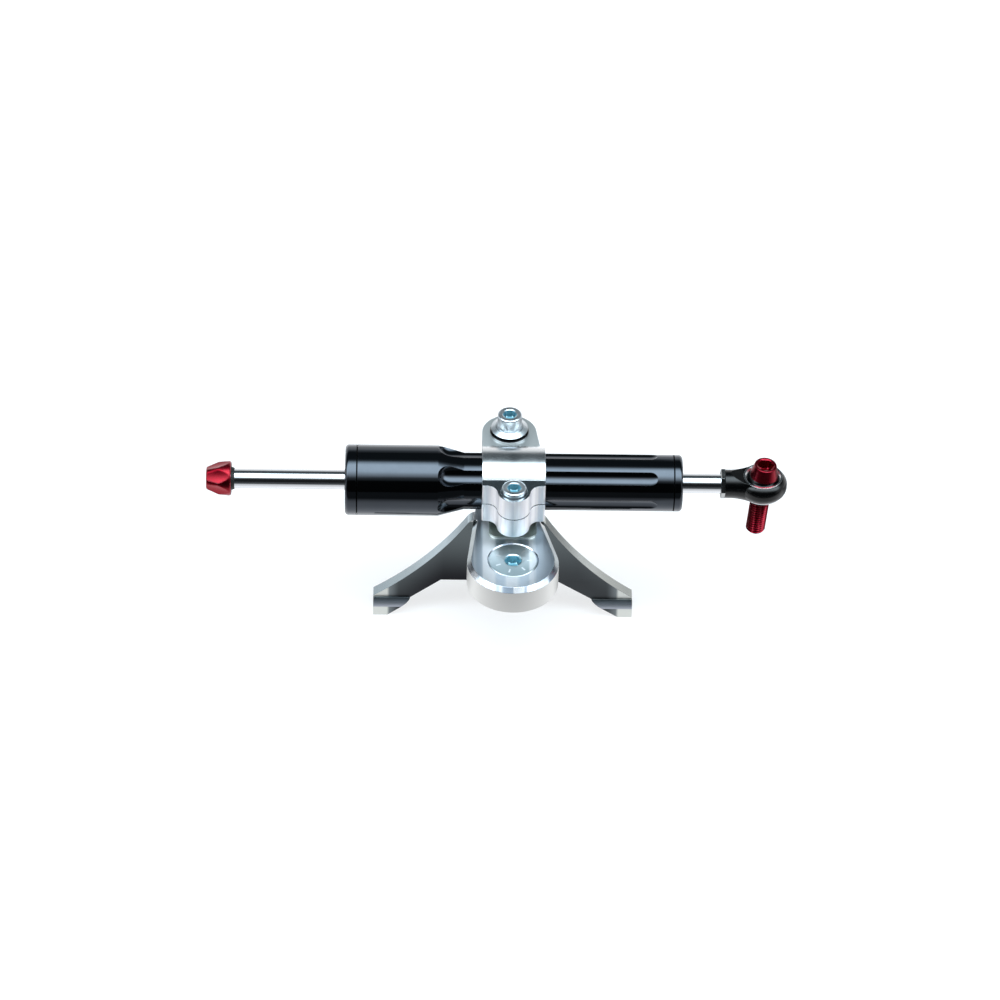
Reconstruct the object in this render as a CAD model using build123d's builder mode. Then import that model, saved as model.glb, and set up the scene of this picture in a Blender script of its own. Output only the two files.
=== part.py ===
# Motorcycle steering damper with its swivelling clamp and frame bracket.
# Millimetres. The origin is the frame screw's axis at the underside of the bracket's boss.
# X runs along the damper towards the rod end, Y away from the boss front, Z up.
import os
from math import cos, radians, sin, sqrt, tan

from build123d import *

os.makedirs("parts", exist_ok=True)

# Fits shared by all pieces
overrun = 2.0
running_gap = 0.05
seat_gap = 0.02
ball_gap = 0.1

# Where the damper lies over the bracket
axis_back = 30.6
pad_gap = 0.4
pivot_wall = 0.8
pivot_aside = -1.6

# Bracket
boss_radius = 18.7
boss_thickness = 12.0
boss_bevel = 1.8
neck_left = 15.8
neck_right = 12.2
neck_corner = 3.0
rear_radius = 10.5
post_radius = 8.5
pad_height = 1.1
pad_front = 13.1
pad_half_width = 9.8
pad_corner = 3.8
plate_front = 24.9
plate_thickness = 5.2
plate_depth = 21.0
plate_left = 29.0
plate_right = 19.0
root_left = 17.0
root_right = 12.6
root_round = 4.5
leg_sagitta = 3.2
leg_drop = 30.1
foot_left = 57.1
foot_right = 50.9
foot_width = 6.0
foot_height = 8.1
toe_reach = 2.9
toe_height = 4.4

# Frame screw and its countersink
frame_screw_radius = 5.0
frame_shank_radius = 4.8
frame_hole_radius = 5.25
frame_hole_edge = 1.0
frame_screw_length = 20.0
countersink_gap = 0.5
countersink_angle = 90.0
frame_head_radius = 10.0
frame_head_below = 0.15
frame_socket_flats = 6.0
frame_socket_depth = 4.2

# Screw tips
tip_bevel = 0.8

# Clamp
clamp_width = 25.7
clamp_wall = 2.9
clamp_split = 0.5
lug_rise = 9.7
lug_drop = 9.0
lobe_reach = 3.3
lobe_radius = 6.7
lobe_blend_share = 0.74
front_corner = 0.8
rear_lug_radius = 11.2
rear_lug_width = 24.0
rear_lug_straight = 9.0

# M6 socket head screws
m6_radius = 3.0
m6_clearance_radius = 3.3
m6_head_radius = 5.0
m6_head_height = 6.0
m6_head_edge = 0.5
m6_socket_flats = 5.0
m6_socket_depth = 3.4
clamp_head_stand = 2.0
counterbore_radius = 5.5
pivot_screw_length = 35.0

# Pivot bearing in the clamp's rear lug
race_wall = 0.8
race_flange_width = 0.6
race_flange_height = 1.4
race_relief_gap = 0.1
race_seat_half = 3.6
race_edge = 0.5
pivot_sphere_radius = 6.5
pivot_neck_radius = 4.6
pivot_ball_half = 11.8
washer_radius = 7.6
washer_thickness = 1.6
washer_edge = 0.4
washer_flat = 5.3

# Damper body and caps
body_radius = 11.6
barrel_step = 2.85
barrel_end = 68.7
left_flange = 4.7
taper_start = 30.8
taper_end = 20.2
body_end = 69.1
right_flange = 3.4
joint_groove = 0.15
cap_edge = 1.5
gas_wall = 2.45
gas_bore_end = 33.0
oil_wall = 2.6
oil_bore_start = 27.0
left_spigot = 7.0
right_spigot = 9.0
wiper_width = 2.2
cap_recess_depth = 2.6

# Flutes cut along the body with a ball-nose cutter
flute_count = 6
flute_first_angle = 132.0
flute_cutter_radius = 5.6
flute_centre_rise = 4.6
flute_start = 25.6
flute_end = 55.6

# Rod, its guides and its seals
rod_radius = 4.0
needle_bore_radius = 1.6
rod_edge = 0.5
guide_wall = 1.4
guide_length = 4.0
seal_width = 3.0
seal_length = 2.4
seal_lip_gap = 0.12
wiper_lip = 0.3
o_ring_radius = 0.9
o_ring_squeeze = 0.12

# Inner sleeve, gas piston and its rings
sleeve_wall = 1.4
sleeve_bore_gap = 0.6
bulkhead_thickness = 4.0
sleeve_socket_gap = 1.0
gas_piston_centre = 46.0
gas_piston_length = 7.0
gas_plug_radius = 2.0
gas_plug_length = 5.5
gas_plug_socket_flats = 2.0
gas_plug_socket_depth = 1.8
gas_plug_angle = -60.0
gas_passage_radius = 1.0

# Piston on the rod
piston_centre = 0.5
piston_length = 12.0
piston_gap = 0.05
band_width = 4.0
band_depth = 1.2
clip_thickness = 1.0
clip_width = 1.6
clip_groove = 0.5
orifice_radius = 0.9

# Adjuster knob, bump ring and detent
rod_showing_left = 45.3
bump_length = 1.3
bump_big_wall = 0.8
bump_small_wall = 0.3
knob_length = 10.2
knob_face_radius = 4.7
knob_radius = 7.1
knob_waist_radius = 6.7
knob_cone_length = 5.0
knob_rim = 0.9
knob_face_edge = 0.4
scoop_radius = 18.0
scoop_floor = 4.25
scoop_end = 9.4
scoop_angle = 134.0
scoop_count = 6
knob_bore_depth = 6.6
drive_flats = 2.0
drive_length = 2.0
drive_room = 0.6
knob_clip_width = 0.6
knob_clip_thickness = 0.7
knob_clip_inset = 2.2
detent_ball_radius = 0.6
detent_circle_radius = 2.8
detent_spring_length = 3.4
detent_spring_folds = 4

# Metering needle inside the rod
needle_gap = 0.2
needle_tip_radius = 0.5
needle_tip_length = 5.0

# Jam nut and rod end
rod_showing_right = 15.9
nut_flats = 10.6
nut_thickness = 1.8
nut_edge = 0.3
eye_offset = 15.5
eye_radius = 10.0
eye_half_height = 4.45
eye_round = 4.0
neck_radius = 5.85
neck_straight = 2.2
neck_flare_length = 10.0
neck_flare_rise = 2.6
rod_end_wall = 1.3
eye_race_wall = 1.0
eye_race_chamfer_width = 1.05
eye_race_chamfer_depth = 1.1
eye_sphere_radius = 7.0
eye_ball_half = 5.0

# Rod end bolt
eye_bolt_radius = 4.0
eye_shank_radius = 3.8
eye_thread_gap = 0.4
eye_bolt_reach = 26.6
eye_head_top = 10.8
eye_head_base_radius = 5.9
eye_head_top_radius = 4.6
eye_head_edge = 0.4
eye_socket_flats = 6.0
eye_socket_depth = 4.6
eye_tip_bevel = 1.2
eye_tilt_along = 3.5
eye_tilt_forward = 3.0

# Places along the damper, worked out from the sizes above
barrel_radius = body_radius + barrel_step
gas_bore_radius = barrel_radius - gas_wall
oil_bore_radius = body_radius - oil_wall
clamp_bore_radius = body_radius + seat_gap
clamp_outer_radius = body_radius + clamp_wall
axis_height = boss_thickness + pad_height + pad_gap + clamp_outer_radius
race_radius = pivot_sphere_radius + ball_gap + race_wall
race_flange_radius = race_radius + race_flange_width
race_relief_radius = pivot_sphere_radius + ball_gap + race_relief_gap
pivot_offset = body_radius + pivot_wall + race_radius
lobe_offset = clamp_outer_radius + lobe_reach
lobe_blend = lobe_blend_share * (clamp_width / 2 - lobe_radius)
flute_centre_radius = body_radius + flute_centre_rise
seal_radius = rod_radius + seal_width
cap_recess_radius = rod_radius + wiper_width
sleeve_bore_radius = rod_radius + sleeve_bore_gap
sleeve_radius = sleeve_bore_radius + sleeve_wall
gas_plug_offset = (sleeve_radius + gas_bore_radius) / 2
clip_radius = rod_radius + clip_width
knob_clip_radius = rod_radius + knob_clip_width
bump_big_radius = rod_radius + bump_big_wall
bump_small_radius = rod_radius + bump_small_wall
needle_radius = needle_bore_radius - needle_gap
eye_race_radius = eye_sphere_radius + eye_race_wall
pivot_back = axis_back + pivot_offset
lobe_back = axis_back - lobe_offset
pad_back = pivot_back - post_radius / 2
left_joint_x = left_flange - barrel_end
right_joint_x = body_end - right_flange
left_spigot_x = left_joint_x + left_spigot
right_spigot_x = right_joint_x - right_spigot
bulkhead_left_x = -oil_bore_start
bulkhead_right_x = bulkhead_left_x + bulkhead_thickness
bump_right_x = -barrel_end - rod_showing_left
knob_right_x = bump_right_x - bump_length
knob_left_x = knob_right_x - knob_length
rod_left_x = knob_right_x - knob_bore_depth + seat_gap
nut_left_x = body_end + rod_showing_right
nut_right_x = nut_left_x + nut_thickness
eye_x = nut_right_x + eye_offset
rod_right_x = eye_x - eye_race_radius - 2 * rod_end_wall
knob_clip_x = knob_right_x - knob_clip_inset
piston_left_x = piston_centre - piston_length / 2
piston_right_x = piston_centre + piston_length / 2

# Frames of reference
axis_origin = (0, axis_back, axis_height)
axis_plane = Plane(origin=axis_origin, x_dir=(1, 0, 0), z_dir=(0, -1, 0))
damper_axis = Axis(axis_origin, (1, 0, 0))
pivot_plane = Plane(origin=(pivot_aside, pivot_back, axis_height), x_dir=(1, 0, 0), z_dir=(0, -1, 0))
pivot_axis = Axis((pivot_aside, pivot_back, 0), (0, 0, 1))
eye_plane = Plane(origin=(eye_x, axis_back, axis_height), x_dir=(1, 0, 0), z_dir=(0, -1, 0))
eye_axis = Axis((eye_x, axis_back, axis_height), (0, 0, 1))


# Shared shapes
def outline(plane, points):
    """A closed outline of straight lines on a plane."""
    with BuildSketch(plane) as face:
        with BuildLine():
            Polyline(*points, close=True)
        make_face()
    return face.sketch


def turn(points, mode=Mode.ADD):
    """Turn (place, radius) points about the damper axis."""
    revolve(outline(axis_plane, points), axis=damper_axis, mode=mode)


def turn_upright(plane, axis, points, mode=Mode.ADD):
    """Turn (radius, height) points about an upright axis."""
    revolve(outline(plane, points), axis=axis, mode=mode)


def tube(left, right, outer, inner):
    """A plain ring or tube on the damper axis."""
    turn([(left, inner), (right, inner), (right, outer), (left, outer)])


def cross_plane(place):
    """The plane square to the damper axis at a place along it, facing the rod end."""
    return Plane(origin=(place, axis_back, axis_height), x_dir=(0, 1, 0), z_dir=(1, 0, 0))


def hexagon(plane, flats, depth):
    """Cut a hexagon socket of a width across flats, down from a plane."""
    with BuildSketch(plane) as socket:
        RegularPolygon(flats / 2, 6, major_radius=False)
    extrude(socket.sketch, amount=-depth, mode=Mode.SUBTRACT)


def widest_edges(builder):
    """The round edges of the largest radius, from left to right."""
    rounds = builder.edges().filter_by(GeomType.CIRCLE)
    return rounds.group_by(SortBy.RADIUS)[-1].sort_by(Axis.X)


def finish(builder, name):
    """Label a piece and write it."""
    builder.part.label = name
    export_step(builder.part, f"parts/{name}.step")


# Bracket: the boss and tapered neck in plan
neck_circle_left = (neck_corner - neck_left, plate_front + plate_thickness - neck_corner)
neck_circle_right = (neck_right - neck_corner, plate_front + plate_thickness - neck_corner)
post_height = axis_height - pivot_ball_half
countersink_radius = frame_head_radius + countersink_gap
countersink_depth = countersink_radius - frame_hole_radius
frame_head_height = boss_thickness - frame_head_below
foot_bottom = -leg_drop - foot_height


def leg_outline(side, root, foot, inner):
    """One leg of the arch, seen from the front, from its root to its foot."""
    top = (side * root, boss_thickness)
    toe_top = (side * foot, -leg_drop)
    with BuildSketch(Plane.XZ.offset(-plate_front - plate_thickness)) as face:
        with BuildLine():
            SagittaArc(top, toe_top, -side * leg_sagitta)
            Polyline(
                toe_top,
                (side * foot, foot_bottom),
                (side * (foot - foot_width), foot_bottom),
                (side * inner, -plate_depth),
                (0, -plate_depth),
                (0, boss_thickness),
                top,
            )
        make_face()
        corners = face.vertices().group_by(Axis.Y)[-1].sort_by(Axis.X)
        root_corner = corners[-1] if side > 0 else corners[0]
        fillet(root_corner, root_round)
    return face.sketch


def toe_block(side, foot, inner):
    """A toe: a block with a hollow upper edge, cut off along the leg's lower edge."""
    with BuildPart() as toe:
        with BuildSketch(Plane.YZ):
            with BuildLine():
                Polyline(
                    (plate_front, foot_bottom),
                    (plate_front - toe_reach, foot_bottom),
                    (plate_front - toe_reach, foot_bottom + toe_height),
                )
                RadiusArc(
                    (plate_front - toe_reach, foot_bottom + toe_height),
                    (plate_front, foot_bottom + toe_height + toe_reach),
                    toe_reach,
                )
                Line(
                    (plate_front, foot_bottom + toe_height + toe_reach),
                    (plate_front, foot_bottom),
                )
            make_face()
        extrude(amount=side * foot)
        with BuildSketch(Plane.XZ.offset(-plate_front)):
            with BuildLine():
                Polyline(
                    (side * foot, foot_bottom),
                    (side * (foot - foot_width), foot_bottom),
                    (side * inner, -plate_depth),
                    (side * foot, -plate_depth),
                    close=True,
                )
            make_face()
        extrude(amount=toe_reach, mode=Mode.INTERSECT)
    return toe.part


with BuildPart() as bracket:
    with BuildSketch():
        Circle(boss_radius)
        with Locations(neck_circle_left, neck_circle_right):
            Circle(neck_corner)
        make_hull()
    extrude(amount=boss_thickness)
    chamfer(bracket.faces().sort_by(Axis.Z)[-1].edges(), boss_bevel)
    with BuildSketch():
        with Locations(neck_circle_left, neck_circle_right):
            Circle(neck_corner)
        with Locations((pivot_aside, pivot_back)):
            Circle(rear_radius)
        make_hull()
    extrude(amount=boss_thickness)
    # The arch plate with its two legs
    for side, root, foot, inner in (
        (-1, root_left, foot_left, plate_left),
        (1, root_right, foot_right, plate_right),
    ):
        extrude(leg_outline(side, root, foot, inner), amount=plate_thickness)
    # Toes that stand forward at the feet and follow the legs' lower edges
    for side, foot, inner in (
        (-1, foot_left, plate_left),
        (1, foot_right, plate_right),
    ):
        add(toe_block(side, foot, inner))
    # The pad under the clamp and the post under the pivot
    with BuildSketch(Plane.XY.offset(boss_thickness)):
        with Locations((0, (pad_front + pad_back) / 2)):
            RectangleRounded(2 * pad_half_width, pad_back - pad_front, pad_corner)
    extrude(amount=pad_height)
    with BuildSketch(Plane.XY.offset(boss_thickness)):
        with Locations((pivot_aside, pivot_back)):
            Circle(post_radius)
    extrude(amount=post_height - boss_thickness)
    # The frame screw's countersunk hole and the pivot bolt's threaded hole
    with Locations((0, 0, boss_thickness)):
        CounterSinkHole(
            frame_hole_radius, countersink_radius, depth=boss_thickness,
            counter_sink_angle=countersink_angle,
        )
    hole_mouth = frame_hole_radius + frame_hole_edge
    mouth_cone = [(0, 0), (hole_mouth, 0), (0, hole_mouth)]
    turn_upright(Plane.XZ, Axis.Z, mouth_cone, mode=Mode.SUBTRACT)
    with Locations((pivot_aside, pivot_back, post_height)):
        Hole(m6_radius + seat_gap, depth=post_height)
finish(bracket, "bracket")

# Frame screw: a countersunk screw whose shank stands out below the boss
with BuildPart() as frame_screw:
    head_seat = boss_thickness - countersink_depth - frame_hole_radius + frame_shank_radius
    head_cone_top = head_seat + frame_head_radius - frame_shank_radius + seat_gap
    screw_tip = boss_thickness - frame_screw_length
    turn_upright(Plane.XZ, Axis.Z, [
        (0, screw_tip),
        (frame_screw_radius - tip_bevel, screw_tip),
        (frame_screw_radius, screw_tip + tip_bevel),
        (frame_screw_radius, 0),
        (frame_shank_radius, 0),
        (frame_shank_radius, head_seat + seat_gap),
        (frame_head_radius, head_cone_top),
        (frame_head_radius, frame_head_height),
        (0, frame_head_height),
    ])
    hexagon(Plane.XY.offset(frame_head_height), frame_socket_flats, frame_socket_depth)
finish(frame_screw, "frame_screw")


# Clamp: two halves that close on the body, with a round front lobe and a rear lug
def clamp_blank():
    """The whole clamp before it is split and drilled."""
    with BuildPart() as blank:
        with BuildSketch(Plane.XY.offset(axis_height - lug_drop)) as lug_front:
            with Locations((0, axis_back - clamp_outer_radius / 2)):
                Rectangle(clamp_width, clamp_outer_radius)
            with Locations((0, lobe_back)):
                Circle(lobe_radius)
            front_wall = axis_back - clamp_outer_radius
            lobe_joints = lug_front.vertices().filter_by_position(
                Axis.X, -lobe_radius, lobe_radius).filter_by_position(
                Axis.Y, front_wall - lobe_radius, front_wall + lobe_radius)
            fillet(lobe_joints, lobe_blend)
            fillet(lug_front.vertices().group_by(Axis.X)[0].sort_by(Axis.Y)[0], front_corner)
            fillet(lug_front.vertices().group_by(Axis.X)[-1].sort_by(Axis.Y)[0], front_corner)
        extrude(amount=lug_drop + lug_rise)
        with BuildSketch(Plane.XY.offset(axis_height - lug_drop)):
            with Locations((pivot_aside, pivot_back)):
                Circle(rear_lug_radius)
            with Locations((pivot_aside / 2, axis_back + rear_lug_straight / 2)):
                Rectangle(rear_lug_width, rear_lug_straight)
            make_hull()
        extrude(amount=lug_drop + lug_rise)
        with BuildSketch(cross_plane(-clamp_width / 2)):
            Circle(clamp_outer_radius)
        extrude(amount=clamp_width)
        with BuildSketch(cross_plane(-clamp_width / 2 - overrun)):
            Circle(clamp_bore_radius)
        extrude(amount=clamp_width + 2 * overrun, mode=Mode.SUBTRACT)
        with Locations((pivot_aside, pivot_back, axis_height)):
            Cylinder(race_radius + seat_gap, 2 * (lug_rise + overrun), mode=Mode.SUBTRACT)
    return blank.part


clamp_screw_seat = axis_height + lug_rise + clamp_head_stand - m6_head_height
clamp_whole = clamp_blank()

with BuildPart() as clamp_upper:
    add(clamp_whole)
    split(bisect_by=Plane.XY.offset(axis_height + clamp_split / 2), keep=Keep.TOP)
    with Locations((0, lobe_back, clamp_screw_seat)):
        Cylinder(
            counterbore_radius, lug_rise, mode=Mode.SUBTRACT,
            align=(Align.CENTER, Align.CENTER, Align.MIN),
        )
    with Locations((0, lobe_back, axis_height)):
        Cylinder(m6_clearance_radius, 2 * lug_rise, mode=Mode.SUBTRACT)
finish(clamp_upper, "clamp_upper")

with BuildPart() as clamp_lower:
    add(clamp_whole)
    split(bisect_by=Plane.XY.offset(axis_height - clamp_split / 2), keep=Keep.BOTTOM)
    with Locations((0, lobe_back, axis_height)):
        Cylinder(m6_radius + seat_gap, 2 * lug_rise, mode=Mode.SUBTRACT)
finish(clamp_lower, "clamp_lower")


def socket_screw(seat, tip):
    """An M6 socket head screw's outline, upright, from its tip to its head."""
    top = seat + m6_head_height
    return [
        (0, tip),
        (m6_radius - tip_bevel, tip),
        (m6_radius, tip + tip_bevel),
        (m6_radius, seat),
        (m6_head_radius, seat),
        (m6_head_radius, top - m6_head_edge),
        (m6_head_radius - m6_head_edge, top),
        (0, top),
    ]


with BuildPart() as clamp_screw:
    lobe_plane = Plane(origin=(0, lobe_back, 0), x_dir=(1, 0, 0), z_dir=(0, -1, 0))
    screw_profile = socket_screw(clamp_screw_seat, axis_height - lug_drop)
    turn_upright(lobe_plane, Axis((0, lobe_back, 0), (0, 0, 1)), screw_profile)
    head_plane = Plane(origin=(0, lobe_back, clamp_screw_seat + m6_head_height))
    hexagon(head_plane, m6_socket_flats, m6_socket_depth)
finish(clamp_screw, "clamp_screw")

# Pivot bearing: a race pressed through both halves, round a ball on the pivot bolt
race_sphere_radius = pivot_sphere_radius + ball_gap
race_mouth_radius = sqrt(race_sphere_radius**2 - race_seat_half**2)

with BuildPart() as pivot_race:
    race_top = lug_rise + race_flange_height
    turn_upright(pivot_plane, pivot_axis, [
        (race_mouth_radius - ball_gap, -race_seat_half),
        (race_relief_radius, -race_seat_half),
        (race_relief_radius, -lug_drop),
        (race_radius, -lug_drop),
        (race_radius, lug_rise + seat_gap),
        (race_flange_radius, lug_rise + seat_gap),
        (race_flange_radius, race_top - race_edge),
        (race_flange_radius - race_edge, race_top),
        (race_relief_radius, race_top),
        (race_relief_radius, race_seat_half),
        (race_mouth_radius - ball_gap, race_seat_half),
    ])
    with Locations((pivot_aside, pivot_back, axis_height)):
        Sphere(race_sphere_radius, mode=Mode.SUBTRACT)
finish(pivot_race, "pivot_race")

with BuildPart() as pivot_ball:
    with Locations((pivot_aside, pivot_back, axis_height)):
        Sphere(pivot_sphere_radius)
        Cylinder(pivot_neck_radius, 2 * pivot_ball_half)
        Cylinder(m6_radius + seat_gap, 2 * pivot_ball_half + overrun, mode=Mode.SUBTRACT)
finish(pivot_ball, "pivot_ball")

with BuildPart() as pivot_washer:
    washer_top = pivot_ball_half + washer_thickness
    turn_upright(pivot_plane, pivot_axis, [
        (m6_clearance_radius, pivot_ball_half),
        (washer_radius, pivot_ball_half),
        (washer_radius, pivot_ball_half + washer_edge),
        (washer_flat, washer_top),
        (m6_clearance_radius, washer_top),
    ])
finish(pivot_washer, "pivot_washer")

with BuildPart() as pivot_bolt:
    bolt_seat = axis_height + washer_top
    bolt_plane = Plane(origin=(pivot_aside, pivot_back, 0), x_dir=(1, 0, 0), z_dir=(0, -1, 0))
    turn_upright(bolt_plane, pivot_axis, socket_screw(bolt_seat, bolt_seat - pivot_screw_length))
    bolt_top = Plane(origin=(pivot_aside, pivot_back, bolt_seat + m6_head_height))
    hexagon(bolt_top, m6_socket_flats, m6_socket_depth)
finish(pivot_bolt, "pivot_bolt")

# Flute cutter: the path of a ball-nose cutter, made along its own Z
flute_run = flute_start + flute_end
with BuildPart() as flute_cutter:
    Cylinder(flute_cutter_radius, flute_run, align=(Align.CENTER, Align.CENTER, Align.MIN))
    with Locations((0, 0, 0), (0, 0, flute_run)):
        Sphere(flute_cutter_radius)

# Damper body: the big gas barrel, the taper and the fluted oil tube in one piece
with BuildPart(cross_plane(-flute_start)) as damper_body:
    turn([
        (left_joint_x + joint_groove, gas_bore_radius),
        (-gas_bore_end, gas_bore_radius),
        (-oil_bore_start, oil_bore_radius),
        (right_joint_x - joint_groove, oil_bore_radius),
        (right_joint_x - joint_groove, body_radius - joint_groove),
        (right_joint_x - 2 * joint_groove, body_radius),
        (-taper_end, body_radius),
        (-taper_start, barrel_radius),
        (left_joint_x + 2 * joint_groove, barrel_radius),
        (left_joint_x + joint_groove, barrel_radius - joint_groove),
    ])
    with PolarLocations(flute_centre_radius, flute_count, start_angle=flute_first_angle):
        add(flute_cutter.part, mode=Mode.SUBTRACT)
finish(damper_body, "damper_body")

# End caps: screwed in, with a seal recess at the outside and a guide inside
guide_radius = rod_radius + running_gap + guide_wall
guide_bore = rod_radius + running_gap
ring_groove = 2 * o_ring_radius - o_ring_squeeze


def cap(side, face_x, joint_x, spigot_x, outer, spigot_bore, inner_bore):
    """An end cap, turned from its outer face to the end of its spigot."""
    spigot = spigot_bore - seat_gap
    groove_left = spigot_x - side * (2 * ring_groove)
    groove_right = spigot_x - side * ring_groove
    seal_x = face_x + side * cap_recess_depth
    pack_x = seal_x + side * seal_length
    turn([
        (face_x, cap_recess_radius),
        (face_x, outer),
        (joint_x, outer),
        (joint_x, spigot),
        (groove_left, spigot),
        (groove_left, spigot - ring_groove),
        (groove_right, spigot - ring_groove),
        (groove_right, spigot),
        (spigot_x, spigot),
        (spigot_x, inner_bore),
        (pack_x, inner_bore),
        (pack_x, seal_radius),
        (seal_x, seal_radius),
        (seal_x, cap_recess_radius),
    ])


with BuildPart(cross_plane(-barrel_end)) as left_end_cap:
    cap(
        1, -barrel_end, left_joint_x, left_spigot_x,
        barrel_radius, gas_bore_radius, sleeve_radius + seat_gap,
    )
    fillet(widest_edges(left_end_cap)[0], cap_edge)
    with Locations(Rotation(0, 0, gas_plug_angle) * Location((gas_plug_offset, 0, 0))):
        Cylinder(
            gas_plug_radius + seat_gap, gas_plug_length, mode=Mode.SUBTRACT,
            align=(Align.CENTER, Align.CENTER, Align.MIN),
        )
        Cylinder(
            gas_passage_radius, left_flange + left_spigot + overrun, mode=Mode.SUBTRACT,
            align=(Align.CENTER, Align.CENTER, Align.MIN),
        )
finish(left_end_cap, "left_end_cap")

with BuildPart() as right_end_cap:
    cap(
        -1, body_end, right_joint_x, right_spigot_x,
        body_radius, oil_bore_radius, guide_radius + seat_gap,
    )
    fillet(widest_edges(right_end_cap)[-1], cap_edge)
finish(right_end_cap, "right_end_cap")

# Gas fill plug: a grub screw in the left cap's outer face
with BuildPart(cross_plane(-barrel_end)) as gas_plug:
    with Locations(Rotation(0, 0, gas_plug_angle) * Location((gas_plug_offset, 0, tip_bevel))):
        Cylinder(
            gas_plug_radius, gas_plug_length - tip_bevel,
            align=(Align.CENTER, Align.CENTER, Align.MIN),
        )
    with BuildSketch(cross_plane(tip_bevel - barrel_end)):
        with Locations(Rotation(0, 0, gas_plug_angle) * Location((gas_plug_offset, 0))):
            RegularPolygon(gas_plug_socket_flats / 2, 6, major_radius=False)
    extrude(amount=gas_plug_socket_depth, mode=Mode.SUBTRACT)
finish(gas_plug, "gas_plug")

# Inner sleeve: carries the rod through the gas space and closes the oil bore
sleeve_left_x = left_spigot_x - left_spigot + sleeve_socket_gap
with BuildPart() as inner_sleeve:
    bulkhead_radius = oil_bore_radius - seat_gap
    turn([
        (sleeve_left_x, sleeve_bore_radius + guide_wall - seat_gap),
        (sleeve_left_x + guide_length, sleeve_bore_radius + guide_wall - seat_gap),
        (sleeve_left_x + guide_length, sleeve_bore_radius),
        (bulkhead_right_x, sleeve_bore_radius),
        (bulkhead_right_x, bulkhead_radius),
        (bulkhead_left_x, bulkhead_radius),
        (bulkhead_left_x, sleeve_radius),
        (sleeve_left_x, sleeve_radius),
    ])
    with BuildSketch(cross_plane(bulkhead_left_x - overrun)):
        with PolarLocations((bulkhead_radius + sleeve_radius) / 2, 4):
            Circle(gas_passage_radius)
    extrude(amount=bulkhead_thickness + 2 * overrun, mode=Mode.SUBTRACT)
finish(inner_sleeve, "inner_sleeve")

# Guide bushes that the rod slides in
with BuildPart() as guide_bushes:
    left_bush_radius = sleeve_bore_radius + guide_wall - 2 * seat_gap
    tube(sleeve_left_x + seat_gap, sleeve_left_x + guide_length - seat_gap,
         left_bush_radius, guide_bore)
    tube(right_spigot_x, right_spigot_x + guide_length, guide_radius, guide_bore)
finish(guide_bushes, "guide_bushes")

# Rod seals in the caps' inner recesses
with BuildPart() as rod_seals:
    for face_x, side in ((-barrel_end, 1), (body_end, -1)):
        inner_x = face_x + side * (cap_recess_depth + seat_gap)
        outer_x = face_x + side * (cap_recess_depth + seal_length - seat_gap)
        turn([
            (inner_x, seal_radius - seat_gap),
            (outer_x, seal_radius - seat_gap),
            (outer_x, rod_radius + seal_lip_gap + wiper_lip),
            (inner_x, rod_radius + seal_lip_gap),
        ])
finish(rod_seals, "rod_seals")

# Wipers that show at the caps' outer faces
with BuildPart() as rod_wipers:
    for face_x, side in ((-barrel_end, 1), (body_end, -1)):
        lip_x = face_x - side * wiper_lip
        root_x = face_x + side * (cap_recess_depth - seat_gap)
        turn([
            (root_x, cap_recess_radius - seat_gap),
            (face_x, cap_recess_radius - seat_gap),
            (face_x, rod_radius + 2 * wiper_lip),
            (lip_x, rod_radius + wiper_lip),
            (lip_x, rod_radius + seal_lip_gap),
            (root_x, rod_radius + seal_lip_gap + wiper_lip),
        ])
finish(rod_wipers, "rod_wipers")


def o_ring(place, centre_radius):
    """An O-ring of round section about the damper axis."""
    with BuildSketch(axis_plane) as section:
        with Locations((place, centre_radius)):
            Circle(o_ring_radius - o_ring_squeeze)
    revolve(section.sketch, axis=damper_axis)


with BuildPart() as cap_o_rings:
    for spigot_x, bore, side in (
        (left_spigot_x, gas_bore_radius, 1),
        (right_spigot_x, oil_bore_radius, -1),
    ):
        o_ring(spigot_x - side * 1.5 * ring_groove, bore - seat_gap - o_ring_radius)
finish(cap_o_rings, "cap_o_rings")

# Gas piston: floats between the gas and the oil round the inner sleeve
gas_piston_left = -gas_piston_centre - gas_piston_length / 2
gas_piston_right = -gas_piston_centre + gas_piston_length / 2
gas_ring_left = -gas_piston_centre - ring_groove / 2
gas_ring_right = -gas_piston_centre + ring_groove / 2
gas_piston_outer = gas_bore_radius - running_gap
gas_piston_inner = sleeve_radius + running_gap

with BuildPart() as gas_piston:
    turn([
        (gas_piston_left, gas_piston_inner),
        (gas_ring_left, gas_piston_inner),
        (gas_ring_left, gas_piston_inner + ring_groove),
        (gas_ring_right, gas_piston_inner + ring_groove),
        (gas_ring_right, gas_piston_inner),
        (gas_piston_right, gas_piston_inner),
        (gas_piston_right, gas_piston_outer),
        (gas_ring_right, gas_piston_outer),
        (gas_ring_right, gas_piston_outer - ring_groove),
        (gas_ring_left, gas_piston_outer - ring_groove),
        (gas_ring_left, gas_piston_outer),
        (gas_piston_left, gas_piston_outer),
    ])
finish(gas_piston, "gas_piston")

with BuildPart() as gas_piston_rings:
    o_ring(-gas_piston_centre, gas_piston_inner + o_ring_radius)
    o_ring(-gas_piston_centre, gas_piston_outer - o_ring_radius)
finish(gas_piston_rings, "gas_piston_rings")

# Piston rod: runs right through the body, hollow from the knob to the piston
clip_floor = rod_radius - clip_groove
clip_places = (piston_left_x - clip_thickness, piston_right_x)


def rod_grooves():
    """Cut the three clip grooves round the rod."""
    for place, width in (
        (clip_places[0], clip_thickness),
        (clip_places[1], clip_thickness),
        (knob_clip_x, knob_clip_thickness),
    ):
        turn([
            (place, clip_floor),
            (place + width, clip_floor),
            (place + width, rod_radius + overrun),
            (place, rod_radius + overrun),
        ], mode=Mode.SUBTRACT)


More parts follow.
